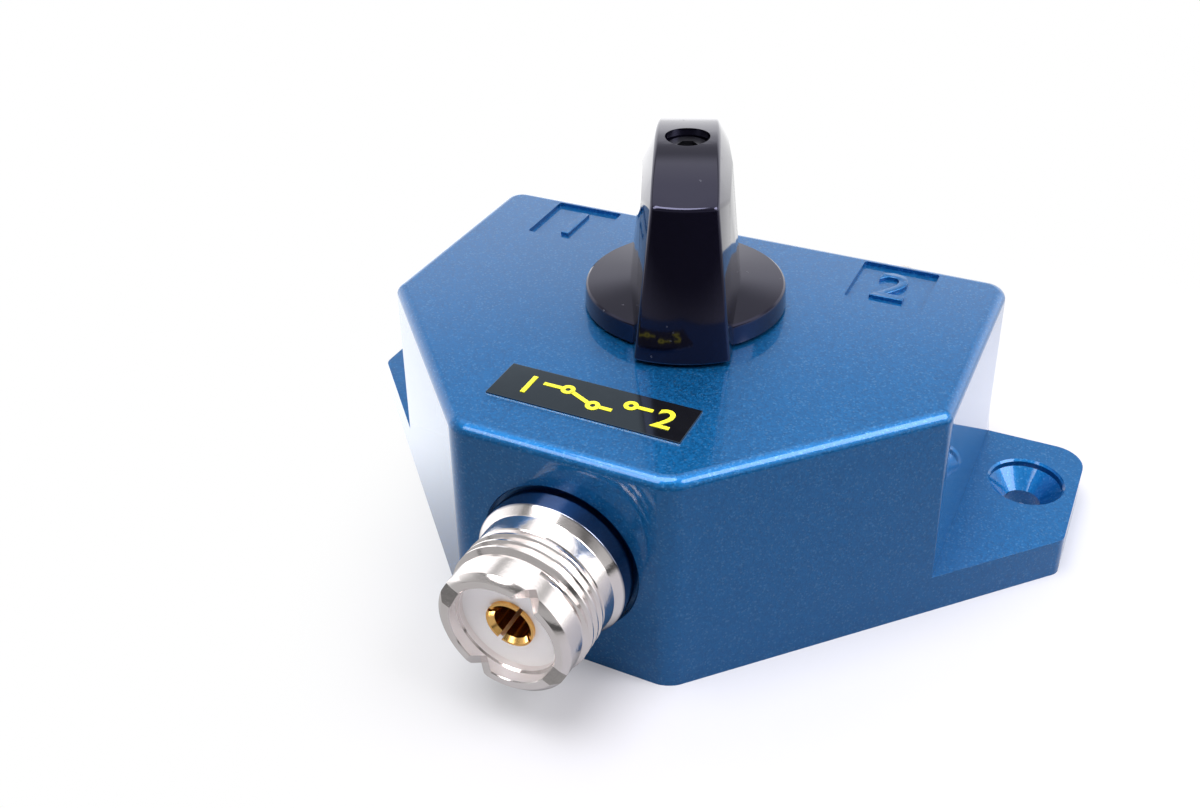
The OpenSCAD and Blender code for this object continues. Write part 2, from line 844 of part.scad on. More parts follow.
module knob() {
    color([0.06, 0.06, 0.07])
        on_rotor()
            difference() {
                union() {
                    translate([0, 0, knob_low]) cylinder(r1 = skirt_r, r2 = skirt_r - rim_in, h = skirt_h);
                    translate([0, 0, knob_low + skirt_h])
                        cylinder(r1 = skirt_r - rim_in, r2 = dome_r, h = dome_h);
                    knob_bar();
                }
                difference() {
                    translate([0, 0, knob_low - 1]) cylinder(r = shaft_r, h = shaft_top - knob_low + 1);
                    translate([flat_x, -shaft_r - 1, flat_z]) cube([shaft_r, 2 * shaft_r + 2, body_h]);
                }
                translate([0, 0, knob_low - 1]) cylinder(r = clip_room_r, h = clip_room_h + 1);
                cylinder(r = knob_screw_r + 0.1, h = 2 * body_h);
                translate([0, 0, screw_head_top - screw_head_h]) cylinder(r = screw_hole_r, h = body_h);
            }
}

module knob_screw() {
    head_low = screw_head_top - screw_head_h;
    color([0.12, 0.12, 0.13])
        on_rotor()
            difference() {
                union() {
                    translate([0, 0, head_low]) cylinder(r = knob_screw_head_r, h = screw_head_h);
                    translate([0, 0, knob_screw_end + 1])
                        cylinder(r = knob_screw_r, h = head_low - knob_screw_end);
                }
                translate([0, 0, screw_head_top - hex_d])
                    cylinder(r = hex_w / sqrt(3), h = hex_d + 1, $fn = 6);
            }
}

housing();
bottom_cover();
cover_screws();
label_plate();
at_front_socket() socket_shell();  // common_socket_shell
at_rear_socket(-1) socket_shell();  // socket_shell_1
at_rear_socket(1) socket_shell();  // socket_shell_2
at_front_socket() insulator();  // common_insulator
at_rear_socket(-1) insulator();  // insulator_1
at_rear_socket(1) insulator();  // insulator_2
front_contact();  // common_contact
rear_contact(-1);  // contact_1
rear_contact(1);  // contact_2
common_bar();
output_leaf(-1);  // output_leaf_1
output_leaf(1);  // output_leaf_2
contact_button(-1);  // contact_button_1
contact_button(1);  // contact_button_2
shaft_bush();
detent_spring();
detent_screw();
switch_shaft();
shaft_clip(ground_z - clip_t);  // lower_clip
shaft_clip(clip_top_z);  // upper_clip
ground_rotor();
rotor_insulator();
rotor_contact();
rotor_washer();
detent_wheel();
thrust_washer();
knob();
knob_screw();
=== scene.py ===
"""Looks of a two-way coaxial antenna switch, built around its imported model."""

import json
import math

import bmesh
import bpy
from mathutils import Matrix, Vector


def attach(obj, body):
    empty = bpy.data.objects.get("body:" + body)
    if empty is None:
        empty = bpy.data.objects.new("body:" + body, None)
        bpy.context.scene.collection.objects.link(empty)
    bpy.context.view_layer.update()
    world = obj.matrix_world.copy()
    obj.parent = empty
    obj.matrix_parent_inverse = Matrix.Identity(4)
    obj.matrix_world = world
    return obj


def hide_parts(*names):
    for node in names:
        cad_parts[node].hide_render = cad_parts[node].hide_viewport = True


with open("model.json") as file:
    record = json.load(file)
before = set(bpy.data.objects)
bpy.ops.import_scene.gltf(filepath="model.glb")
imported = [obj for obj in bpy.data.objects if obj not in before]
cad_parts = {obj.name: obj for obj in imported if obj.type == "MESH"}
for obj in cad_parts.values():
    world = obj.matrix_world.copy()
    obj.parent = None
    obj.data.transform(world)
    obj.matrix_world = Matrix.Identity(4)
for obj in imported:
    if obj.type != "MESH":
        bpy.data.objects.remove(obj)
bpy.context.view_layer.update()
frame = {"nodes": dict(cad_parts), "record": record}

MM = 0.001
IMAGE_W = 1200

# The studio's strengths, first on the camera's side and then behind the object
AMBIENT = (0.05, 0.85)
ROOM = (0.30, 1.3)
# Shares of the room's strength near the floor and in a dim band higher up
LOW_SHARE = 1.35
BAND_SHARE = 0.4
WINDOW = 7.0

# How far a cutter reaches past the surface that it opens, and how near counts as level
PAST = 1.0
NEAR = 0.001

# Driving sizes of the casting, in millimetres
BODY_H = 27.3
BODY_W = 68.5
FRONT_W = 24.7
BODY_D = 52.4
SIDE_L = 29.9
DRAFT = 0.031
WALL_T = 3.2
ROOF_T = 3.0
TOP_EDGE = 1.3
EARS_W = 94.5
EAR_T = 5.15
EAR_EDGE = 0.8
EAR_HOLE_X = 41.3
EAR_HOLE_Y = 18.0
EAR_HOLE_R = 2.15
EAR_SEAT_R = 4.35
EAR_SEAT_FLOOR = 2.0
EAR_SEAT_CHAMFER = 0.25
COVER_T = 1.8
COVER_LEDGE = 1.2
BUSH_HOLE_R = 5.0
BUSH_HOLE_Z = 15.0
# Corner radii in the order of plan()
BOX_CORNERS = (3.5, 3.5, 1.5, 2.5, 2.5, 1.5)
EAR_CORNERS = (3.5, 3.5, 1.5, 3.75, 3.75, 1.5)

# Sockets: lengths run outwards from the wall
SOCKET_Z = 13.64
REAR_Z = 12.8
REAR_X = 18.5
SHOULDER_R = 8.59
SHOULDER_L = 2.29
GAP_R = 9.05
GAP_D = 1.0
GAP_CHAMFER = 0.15
BORE_SIDES = 96
REACH = 12.57
SHELL_IN = 4.4
THREAD_R = 7.9375
PITCH = 1.058
THREAD_DEPTH = 0.61 * PITCH
TURNS = 3.6
THREAD_START = 5.46
THREAD_ANGLE = 210
CONE_L = 0.94
THREAD_LOW = 5.3
THREAD_HIGH = 9.54
FLANGE_R = 8.66
# How far out from the wall the shells' painted dark reflection reaches
DARK_REFLECTION_L = 2.7
LEAD_R = 7.52
RIM_R = 6.87
MOUTH_R = 5.92
SEAT_D = 1.5
BORE_STEP = 0.22
STEP_Z = 1.0
STEP_R = 7.0
NOTCH_W = 2.8
NOTCH_L = 4.0
NOTCH_ANGLE = 61
SHELL_SIDES = 160

# Marks on the top
PAD_X = 21.5
PAD_W = 9.3
PAD_D = 0.5
PAD_BACK = 1.4
PAD_CORNER = 0.35
PAD_Y = BODY_D / 2 - PAD_BACK - PAD_W / 2
DIGIT_H = 6.0
DIGIT_T = 0.15
DIGIT_SOFT = 0.12
DIGIT_LIFT = 0.18
# A digit's height as a share of its font size
DIGIT_SHARE = 0.69
LABEL_X = -0.5
LABEL_Y = -16.95
LABEL_W = 22.5
LABEL_H = 6.1
LABEL_T = 0.3
LABEL_EDGE = 0.06
BACKING_T = 0.10
BACKING_SUNK = 0.02

# The label's sign, from the label's centre
MARK_H = 3.2
MARK_W = 0.52
MARK_T = 0.08
MARK_SOFT = 0.04
MARK_DIGITS = (("1", -7.6), ("2", 8.3))
RING_R = 0.80
RING_HOLE_R = 0.30
MARK_RINGS = ((-3.3, 0.8), (4.1, 0.8), (0.4, -0.8))
MARK_LINES = (((-6.2, 0.8), (-4.05, 0.8)), ((4.85, 0.8), (6.6, 0.8)),
              ((-0.3, -0.55), (-2.65, 0.55)), ((1.15, -0.8), (2.6, -0.8)))

# Knob
KNOB_Y = 6.86
THROW = 43
KNOB_GAP = 0.4
KNOB_TOP = BODY_H + 20.7
KNOB_EDGE = 0.32
SKIRT_R = 11.9
SKIRT_H = 2.4
SKIRT_TAPER = 0.12
SKIRT_CROWN_R = 5.0
SKIRT_CROWN_H = 0.6
BAR_R = 15.1
BAR_TOP_R = 12.95
BAR_FOOT_W = 10.5
BAR_W = 13.5
BAR_MID_W = 10.1
BAR_TOP_W = 7.0
SHOULDER_DROP = 2.65
# Along the bar, how much narrower each side is, and how far below the crown
WAIST = ((0, 0, 3.0), (8, 0.3, 3.9))
SCREW_HOLE_R = 2.5
SCREW_HOLE_D = 3.5
SHAFT_HOLE_R = 3.0
SHAFT_HOLE_D = 12.3
RECESS_R = 6.2
RECESS_D = 1.3


# ---------------------------------------------------------------- shader expressions

class Value:
    """A shader socket that takes arithmetic."""

    def __init__(self, nodes, socket):
        self.nodes = nodes
        self.socket = socket

    def calc(self, operation, first, second=None):
        given = {0: first} if second is None else {0: first, 1: second}
        return self.nodes.add("ShaderNodeMath", {"operation": operation}, given)

    def __add__(self, other):
        return self.calc("ADD", self, other)

    __radd__ = __add__

    def __sub__(self, other):
        return self.calc("SUBTRACT", self, other)

    def __rsub__(self, other):
        return self.calc("SUBTRACT", other, self)

    def __mul__(self, other):
        return self.calc("MULTIPLY", self, other)

    __rmul__ = __mul__


class Graph:
    """A node tree under construction: its nodes are added by one method."""

    def __init__(self, owner):
        owner.use_nodes = True
        self.tree = owner.node_tree
        self.tree.nodes.clear()

    def add(self, kind, settings=None, given=None, out=0):
        """A node with its settings, then the values or links of its sockets."""
        node = self.tree.nodes.new(kind)
        for key, value in (settings or {}).items():
            setattr(node, key, value)
        for key, value in (given or {}).items():
            if isinstance(value, Value):
                self.tree.links.new(value.socket, node.inputs[key])
            else:
                node.inputs[key].default_value = value
        return Value(self, node.outputs[out]) if node.outputs else None

    def part(self, vector, axis):
        return self.add("ShaderNodeSeparateXYZ", {}, {"Vector": vector}, axis)

    def ramp(self, factor, low, high, floor=0.0, ceiling=1.0):
        """floor below low, ceiling above high, and smooth between."""
        return self.add(
            "ShaderNodeMapRange", {"interpolation_type": "SMOOTHSTEP"},
            {"Value": factor, "From Min": low, "From Max": high,
             "To Min": floor, "To Max": ceiling},
        )

    def seen(self):
        """1 for rays that show the background: to the camera, in gloss and through glass."""
        shown = self.add("ShaderNodeLightPath", out="Is Camera Ray")
        for ray in ("Is Glossy Ray", "Is Transmission Ray"):
            shown = shown.calc("MAXIMUM", shown, self.add("ShaderNodeLightPath", out=ray))
        return shown


class Finish(Graph):
    """A material whose patterns lie in the piece's own coordinates."""

    def __init__(self, name):
        self.material = bpy.data.materials.new(name)
        super().__init__(self.material)
        self.place = self.add("ShaderNodeTexCoord", out="Object")

    def noise(self, scale, detail=3.0, rough=0.5):
        return self.add(
            "ShaderNodeTexNoise", {},
            {"Vector": self.place, "Scale": scale, "Detail": detail, "Roughness": rough},
        )

    def cells(self, scale, out="Color"):
        return self.add("ShaderNodeTexVoronoi", {}, {"Vector": self.place, "Scale": scale}, out)

    def mix(self, factor, first, second):
        return self.add(
            "ShaderNodeMix", {"data_type": "RGBA"},
            {"Factor": factor, 6: tint(first), 7: tint(second)}, 2,
        )

    def bump(self, height, distance, strength):
        given = {"Height": height, "Distance": distance, "Strength": strength}
        return self.add("ShaderNodeBump", {}, given)

    def surface(self, **given):
        """The closing shader; words stand for sockets, as in base_color for Base Color."""
        sockets = {
            word.replace("_", " ").title().replace("Ior", "IOR"): value
            for word, value in given.items()
        }
        shader = self.add("ShaderNodeBsdfPrincipled", {}, sockets)
        self.add("ShaderNodeOutputMaterial", {}, {"Surface": shader})
        return self.material


def tint(colour):
    """A colour with its alpha; sockets and full colours pass as they are."""
    if isinstance(colour, Value) or len(colour) == 4:
        return colour
    return (*colour, 1.0)


# ---------------------------------------------------------------- finishes

def flake_paint():
    """Blue lacquer with fine bright flakes under a clear coat."""
    f = Finish("blue_flake_paint")
    per_metre = 5200.0
    flakes = f.cells(per_metre)
    shade = f.part(flakes, "X")
    bright = f.ramp(f.part(flakes, "Y"), 0.80, 1.0)
    drift = f.noise(160.0, 4.0)
    deep = f.mix(drift, (0.003, 0.090, 0.268), (0.005, 0.101, 0.292))
    body = f.mix(shade, deep, (0.008, 0.134, 0.362))
    colour = f.mix(bright * 0.15, body, (0.20, 0.45, 0.72))
    lumps = f.bump(f.cells(per_metre, "Distance"), 0.00002, 0.4)
    return f.surface(
        base_color=colour, metallic=0.85 + 0.1 * bright, roughness=0.42 + 0.16 * shade,
        specular_ior_level=0.0, normal=lumps, coat_weight=1.0, coat_roughness=0.06,
        coat_ior=1.4,
    )


def bright_nickel():
    """Turned brass with bright nickel plate, slightly stained, and a painted dark reflection at the
    wall.
    """
    f = Finish("bright_nickel")
    stain = f.noise(260.0, 5.0, 0.6)
    fine = f.noise(2600.0, 3.0)
    plate = f.mix(stain, (0.97, 0.93, 0.92), (0.84, 0.775, 0.76))
    # Painted reflection: the shoulder by the wall is coloured dark blue-grey, standing for the
    # shaded wall mirrored in it
    across = f.part(f.place, "Y")
    outwards = across.calc("ABSOLUTE", across)
    foot = (BODY_D / 2 + DARK_REFLECTION_L) * MM
    colour = f.mix(f.ramp(outwards, foot - 0.0001, foot + 0.0001), (0.16, 0.18, 0.25), plate)
    rough = 0.10 + 0.16 * stain * fine
    skin = f.bump(fine, 0.000012, 0.5)
    return f.surface(base_color=colour, metallic=1.0, roughness=rough, normal=skin)


def thin_gilt():
    f = Finish("thin_gilt")
    stain = f.noise(700.0, 4.0)
    colour = f.mix(stain, (1.0, 0.64, 0.22), (0.95, 0.48, 0.13))
    return f.surface(
        base_color=colour, metallic=1.0, roughness=0.12 + 0.14 * stain,
        normal=f.bump(f.noise(3000.0), 0.00001, 0.4),
    )


def pale_insulator():
    f = Finish("pale_insulator")
    cloud = f.noise(320.0, 5.0)
    colour = f.mix(cloud, (0.97, 0.95, 0.95), (0.90, 0.88, 0.88))
    return f.surface(
        base_color=colour, roughness=0.38 + 0.12 * cloud,
        normal=f.bump(f.noise(1800.0, 4.0), 0.00002, 0.5),
    )


def polished_black():
    """Moulded black plastic, polished, with faint wipe marks and dust."""
    f = Finish("polished_black")
    wave = f.noise(70.0, 2.0)
    dust = f.ramp(f.part(f.cells(4200.0), "Z"), 0.9992, 0.9999)
    wipe = f.noise(500.0, 6.0, 0.65)
    colour = f.mix(dust, (0.0025, 0.0020, 0.0060), (0.05, 0.05, 0.06))
    rough = 0.05 + 0.06 * wipe + 0.4 * dust
    skin = f.bump(wave, 0.00012, 0.25)
    return f.surface(
        base_color=colour, roughness=rough, normal=skin, ior=1.6,
        specular_tint=(0.66, 0.65, 1.0, 1.0),
    )


def label_gloss():
    f = Finish("label_gloss")
    wipe = f.noise(420.0, 4.0)
    colour = f.mix(wipe, (0.004, 0.004, 0.006), (0.008, 0.008, 0.010))
    return f.surface(
        base_color=colour, roughness=0.05 + 0.06 * wipe,
        normal=f.bump(f.noise(160.0), 0.00006, 0.3), ior=1.85,
        specular_tint=(0.52, 0.78, 1.0, 1.0),
    )


def label_yellow():
    f = Finish("label_yellow")
    ink = f.noise(1500.0, 4.0)
    colour = f.mix(ink, (0.93, 0.86, 0.03), (0.80, 0.72, 0.03))
    return f.surface(base_color=colour, roughness=0.35 + 0.15 * ink)


def plain_metal(name, light, dark, low_rough, spread):
    """Plated or bare metal with a fine mottled grain."""
    f = Finish(name)
    grain = 1400.0
    mottle = f.noise(grain / 6, 4.0, 0.6)
    fine = f.noise(grain, 4.0)
    colour = f.mix(mottle, light, dark)
    rough = low_rough + spread * mottle * fine
    return f.surface(
        base_color=colour, metallic=1.0, roughness=rough, normal=f.bump(fine, 0.00001, 0.6)
    )


def floor_white():
    """Pale floor that keeps the object's shadow and turns plain white further out.

    In gloss it is painted dim in front of the object, a painted shade, and painted bright behind it
    and on its left.
    """
    f = Finish("floor_white")
    seen = f.seen()
    camera = f.add("ShaderNodeLightPath", out="Is Camera Ray")
    across = f.part(f.place, "X")
    # Metres past the origin, away from the camera
    behind = 0.9 * f.part(f.place, "Y") - 0.4 * across
    # Painted shade and light, seen only in gloss: the floor is dimmed in front and brightened on
    # the left
    left = f.ramp(across, -0.045, -0.02, 0.6, 0.0)
    room = (f.ramp(behind, -0.140, -0.085, 0.06, 0.47)
            + f.ramp(behind, -0.025, 0.015, 0.0, 1.0) * (0.54 + left)
            + f.ramp(behind, 0.09, 0.20, 0.0, 0.5))
    shade = 1.0 - (seen - camera) * (1.0 - room)
    grey = f.add("ShaderNodeVectorMath", {"operation": "SCALE"},
                 {0: (0.69, 0.68, 0.72), "Scale": shade - 0.14 * camera})
    lit = f.add("ShaderNodeBsdfDiffuse", {}, {"Color": grey})
    # Painted light: plain white sets in nearer on the left, over the floor's shadow there; the
    # shadow stays on the right, round this place
    away = f.add("ShaderNodeVectorMath", {"operation": "DISTANCE"},
                 {0: f.place, 1: (0.05, 0.0, 0.0)}, "Value")
    white = f.add("ShaderNodeEmission", {}, {"Strength": shade})
    clear = f.ramp(away, 0.050, 0.092, 0.04, 1.0)
    shown = f.add("ShaderNodeMixShader", {}, {"Fac": clear * seen, 1: lit, 2: white})
    f.add("ShaderNodeOutputMaterial", {}, {"Surface": shown})
    return f.material


# ---------------------------------------------------------------- shapes

def inset(points, distance):
    """A convex outline, anticlockwise, with every side moved inwards."""
    moved = []
    count = len(points)
    for i, here in enumerate(points):
        before = Vector(points[i - 1])
        here = Vector(here)
        after = Vector(points[(i + 1) % count])
        u = (here - before).normalized()
        v = (after - here).normalized()
        p = here + distance * Vector((-u.y, u.x))
        q = here + distance * Vector((-v.y, v.x))
        cross = u.x * v.y - u.y * v.x
        gap = q - p
        moved.append(p + u * ((gap.x * v.y - gap.y * v.x) / cross))
    return moved


def plan(half_w):
    """The walls' outline at the height of the top, widened to half_w."""
    slope = (BODY_D - SIDE_L) / (BODY_W - FRONT_W) * 2
    side_y = -BODY_D / 2 + (half_w - FRONT_W / 2) * slope
    front = FRONT_W / 2
    back = BODY_D / 2
    return [(-front, -back), (front, -back), (half_w, side_y), (half_w, back),
            (-half_w, back), (-half_w, side_y)]


def nearest(point, places):
    """Which of the places a point lies at, seen from above."""
    return min(range(len(places)), key=lambda i: (Vector(places[i]) - point.xy).length)


def raise_face(bm, face, places, height):
    """Extrudes a level face to a height, each corner to the place nearest to it."""
    grown = bmesh.ops.extrude_face_region(bm, geom=[face])["geom"]
    for vert in [e for e in grown if isinstance(e, bmesh.types.BMVert)]:
        x, y = places[nearest(vert.co, places)]
        vert.co = (x, y, height)
    bmesh.ops.delete(bm, geom=[face], context="FACES_ONLY")
    return [e for e in grown if isinstance(e, bmesh.types.BMFace)][0]


def round_edges(bm, edges, width, steps):
    bmesh.ops.bevel(bm, geom=edges, offset=width, segments=steps, profile=0.5,
                    affect="EDGES", material=-1, clamp_overlap=True)


def level_edges(bm, height):
    return [e for e in bm.edges if all(abs(v.co.z - height) < NEAR for v in e.verts)]


def cast_block():
    """The solid casting: a wide low block for the ears and the box that rises from it."""
    at_ears = DRAFT * (BODY_H - EAR_T)
    wide = plan(EARS_W / 2 - at_ears)
    box = plan(BODY_W / 2)
    bm = bmesh.new()
    base = bm.faces.new([bm.verts.new((p.x, p.y, 0)) for p in inset(wide, -DRAFT * BODY_H)])
    lid = raise_face(bm, base, inset(wide, -at_ears), EAR_T)
    bm.faces.new([v for v in bm.verts if v.co.z < NEAR][::-1])
    side = BODY_W / 2 + at_ears
    for x in (-side, side):
        bmesh.ops.bisect_plane(bm, geom=[*bm.verts, *bm.edges, *bm.faces],
                               plane_co=(x, 0, 0), plane_no=(1, 0, 0), dist=1e-5)
    lid = min((f for f in bm.faces if f.calc_center_median().z > EAR_T - NEAR),
              key=lambda f: abs(f.calc_center_median().x))
    raise_face(bm, lid, box, BODY_H)
    bmesh.ops.recalc_face_normals(bm, faces=bm.faces)
    flat = [e for e in bm.edges if e.calc_face_angle() < math.radians(0.3)]
    bmesh.ops.dissolve_edges(bm, edges=flat, use_verts=True)

    corners = [*zip(box, BOX_CORNERS), *zip(wide, EAR_CORNERS)]
    posts = []
    for edge in bm.edges:
        low, high = sorted(edge.verts, key=lambda v: v.co.z)
        if high.co.z - low.co.z > EAR_T / 2:
            corner = nearest(high.co, [c[0] for c in corners])
            width = corners[corner][1] * math.tan(edge.calc_face_angle() / 2)
            posts.append((corner, width, edge))
    for _, width, edge in sorted(posts, key=lambda post: post[0]):
        round_edges(bm, [edge], width, 8)
    round_edges(bm, level_edges(bm, BODY_H), TOP_EDGE, 6)
    beside = [e for e in level_edges(bm, EAR_T)
              if max(abs(v.co.x) for v in e.verts) > side + 10 * NEAR]
    round_edges(bm, beside, EAR_EDGE, 4)
    bmesh.ops.recalc_face_normals(bm, faces=bm.faces)
    return bm


def rod(r_low, r_high, z_low, z_high, sides=64):
    """A round bar or cone on the Z axis."""
    bm = bmesh.new()
    bmesh.ops.create_cone(bm, cap_ends=True, segments=sides, radius1=r_low, radius2=r_high,
                          depth=z_high - z_low)
    bmesh.ops.translate(bm, verts=bm.verts, vec=(0, 0, (z_low + z_high) / 2))
    return bm


def slab(x, y, z_low, z_high):
    """A cuboid round the Z axis, x by y."""
    bm = bmesh.new()
    bmesh.ops.create_cube(bm, size=1.0)
    bmesh.ops.scale(bm, verts=bm.verts, vec=(x, y, z_high - z_low))
    bmesh.ops.translate(bm, verts=bm.verts, vec=(0, 0, (z_low + z_high) / 2))
    return bm


def prism(outline, low, high):
    """An upright solid on an outline."""
    bm = bmesh.new()
    face = bm.faces.new([bm.verts.new((p.x, p.y, low)) for p in outline])
    grown = bmesh.ops.extrude_face_region(bm, geom=[face])["geom"]
    lifted = [e for e in grown if isinstance(e, bmesh.types.BMVert)]
    bmesh.ops.translate(bm, verts=lifted, vec=(0, 0, high - low))
    bmesh.ops.recalc_face_normals(bm, faces=bm.faces)
    return bm


def placed(bm, matrix):
    """The shape moved by a matrix, with its faces still outwards after a mirror."""
    bmesh.ops.transform(bm, matrix=matrix, verts=bm.verts)
    if matrix.determinant() < 0:
        bmesh.ops.reverse_faces(bm, faces=bm.faces)
    return bm


def lathe(profile, sides):
    """A closed outline of (radius, height) points turned round the Z axis."""
    bm = bmesh.new()
    verts = [bm.verts.new((r, 0.0, z)) for r, z in profile]
    edges = [bm.edges.new((verts[i - 1], verts[i])) for i in range(len(verts))]
    bmesh.ops.spin(bm, geom=verts + edges, cent=(0, 0, 0), axis=(0, 0, 1),
                   angle=2 * math.pi, steps=sides, use_merge=True)
    bmesh.ops.remove_doubles(bm, verts=bm.verts, dist=1e-5)
    bmesh.ops.recalc_face_normals(bm, faces=bm.faces)
    return bm


def linked(name, data):
    """A new object at the origin, in the scene."""
    obj = bpy.data.objects.new(name, data)
    bpy.context.scene.collection.objects.link(obj)
    return obj


def mesh_of(bm, name):
    """The shape as a mesh. It uses the bmesh up."""
    mesh = bpy.data.meshes.new(name)
    bm.to_mesh(mesh)
    bm.free()
    return mesh


def joined(bm, other):
    """Adds another shape's faces to bm, as a separate island."""
    mesh = mesh_of(other, "island")
    bm.from_mesh(mesh)
    bpy.data.meshes.remove(mesh)
    return bm


def carve(bm, tools, operation="DIFFERENCE"):
    """bm with each tool cut from it or fused to it, as a new bmesh."""
    obj = linked("blank", mesh_of(bm, "blank"))
    cutters = [linked("cutter", mesh_of(tool, "cutter")) for tool in tools]
    for cutter in cutters:
        modifier = obj.modifiers.new("cut", "BOOLEAN")
        modifier.operation = operation
        modifier.solver = "MANIFOLD"
        modifier.object = cutter
    graph = bpy.context.evaluated_depsgraph_get()
    result = bmesh.new()
    result.from_object(obj, graph)
    for used in [obj, *cutters]:
        bpy.data.meshes.remove(used.data)
    return result


def piece(name, bm, finish, body="case", stands_for=(), sharp=32):
    """Makes a piece of a shape in millimetres: scaled, smoothed, dressed and riding a body."""
    bmesh.ops.scale(bm, verts=bm.verts, vec=(MM, MM, MM))
    mesh = mesh_of(bm, name)
    mesh.polygons.foreach_set("use_smooth", [True] * len(mesh.polygons))
    mesh.set_sharp_from_angle(angle=math.radians(sharp))
    mesh.materials.append(finish)
    obj = linked(name, mesh)
    even = obj.modifiers.new("even", "WEIGHTED_NORMAL")
    even.keep_sharp = True
    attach(obj, body)
    if stands_for:
        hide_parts(*stands_for)


# ---------------------------------------------------------------- pieces

def socket_places():
    """Matrices that set a piece whose +Z runs outwards on each socket's axis."""
    places = {}
    for name, x, z, side in (("common", 0, SOCKET_Z, -1), ("socket_1", -REAR_X, REAR_Z, 1),
                             ("socket_2", REAR_X, REAR_Z, 1)):
        wall = Matrix.Translation((x, side * (BODY_D / 2 + DRAFT * (BODY_H - z)), z))
        places[name] = wall @ Matrix.Rotation(math.radians(-90 * side), 4, "X")
    return places


def ear_cutter():
    """An ear's countersunk hole, round the Z axis, with its rim broken."""
    seat_top = EAR_SEAT_FLOOR + (EAR_SEAT_R - EAR_HOLE_R)
    return lathe([
        (0.0, -PAST), (EAR_HOLE_R, -PAST), (EAR_HOLE_R, EAR_SEAT_FLOOR),
        (EAR_SEAT_R, seat_top), (EAR_SEAT_R, EAR_T - EAR_SEAT_CHAMFER),
        (EAR_SEAT_R + EAR_SEAT_CHAMFER, EAR_T), (EAR_SEAT_R + 0.4, EAR_T + 0.3),
        (0.0, EAR_T + 0.3),
    ], 64)


def pad_cutter():
    """A square pad sunk in the top, round the Z axis."""
    pad = slab(PAD_W, PAD_W, BODY_H - PAD_D, BODY_H + PAST)
    corners = [e for e in pad.edges if abs(e.verts[0].co.z - e.verts[1].co.z) > PAD_D]
    round_edges(pad, corners, PAD_CORNER, 4)
    return pad


def socket_cutters(name, place):
    """A socket's hole in the wall, the gap round its shoulder, and the gap's chamfer."""
    deep = 2 * WALL_T
    narrow = GAP_R - 0.02
    lean = Matrix.Rotation(-DRAFT if name == "common" else DRAFT, 4, "X")
    hole = rod(SHOULDER_R, SHOULDER_R, -deep, deep, BORE_SIDES)
    gap = rod(GAP_R, GAP_R, -GAP_D, deep, BORE_SIDES)
    chamfer = rod(narrow, narrow + 2 * GAP_CHAMFER, -GAP_CHAMFER, GAP_CHAMFER, BORE_SIDES)
    return [placed(hole, place), placed(gap, place), placed(chamfer, place @ lean)]


def make_housing(finish):
    body_plan = plan(BODY_W / 2)
    cuts = [
        prism(inset(body_plan, WALL_T), COVER_T - 10 * NEAR, BODY_H - ROOF_T),
        prism(inset(body_plan, WALL_T - COVER_LEDGE), -PAST, COVER_T),
    ]
    for side in (-1, 1):
        ear = Matrix.Translation((side * EAR_HOLE_X, EAR_HOLE_Y, 0))
        cuts.append(placed(ear_cutter(), ear))
        cuts.append(placed(pad_cutter(), Matrix.Translation((side * PAD_X, PAD_Y, 0))))
    for name, place in socket_places().items():
        cuts += socket_cutters(name, place)
    bush_hole = rod(BUSH_HOLE_R, BUSH_HOLE_R, BUSH_HOLE_Z, BODY_H + 5 * PAST)
    cuts.append(placed(bush_hole, Matrix.Translation((0, KNOB_Y, 0))))
    block = carve(cast_block(), cuts)
    piece("housing_shell", block, finish, stands_for=["housing"])


def thread_ridge():
    """The helical ridge of the thread, tapered away at both ends."""
    per_turn = 60
    root = THREAD_R - THREAD_DEPTH - 0.01 * PITCH
    bm = bmesh.new()
    # Radius, and the place along the axis as a share of the pitch
    shape = [(root, -0.47), (THREAD_R, -0.09), (THREAD_R, 0.09), (root, 0.47)]
    verts = [bm.verts.new((r, 0.0, THREAD_START + share * PITCH)) for r, share in shape]
    face = bm.faces.new(verts)
    bmesh.ops.spin(bm, geom=[face, *face.edges, *face.verts], cent=(0, 0, 0), axis=(0, 0, 1),
                   dvec=(0, 0, PITCH / per_turn), angle=2 * math.pi * TURNS,
                   steps=round(per_turn * TURNS))
    # Each end rises over a quarter of a turn
    for vert in bm.verts:
        turn = (vert.co.z - THREAD_START) / PITCH
        fade = min(1.0, max(0.02, 4 * turn), max(0.02, 4 * (TURNS - turn)))
        radius = vert.co.xy.length
        full = (root + (radius - root) * fade) / radius
        vert.co.x *= full
        vert.co.y *= full
    bmesh.ops.recalc_face_normals(bm, faces=bm.faces)
    return placed(bm, Matrix.Rotation(math.radians(THREAD_ANGLE), 4, "Z"))


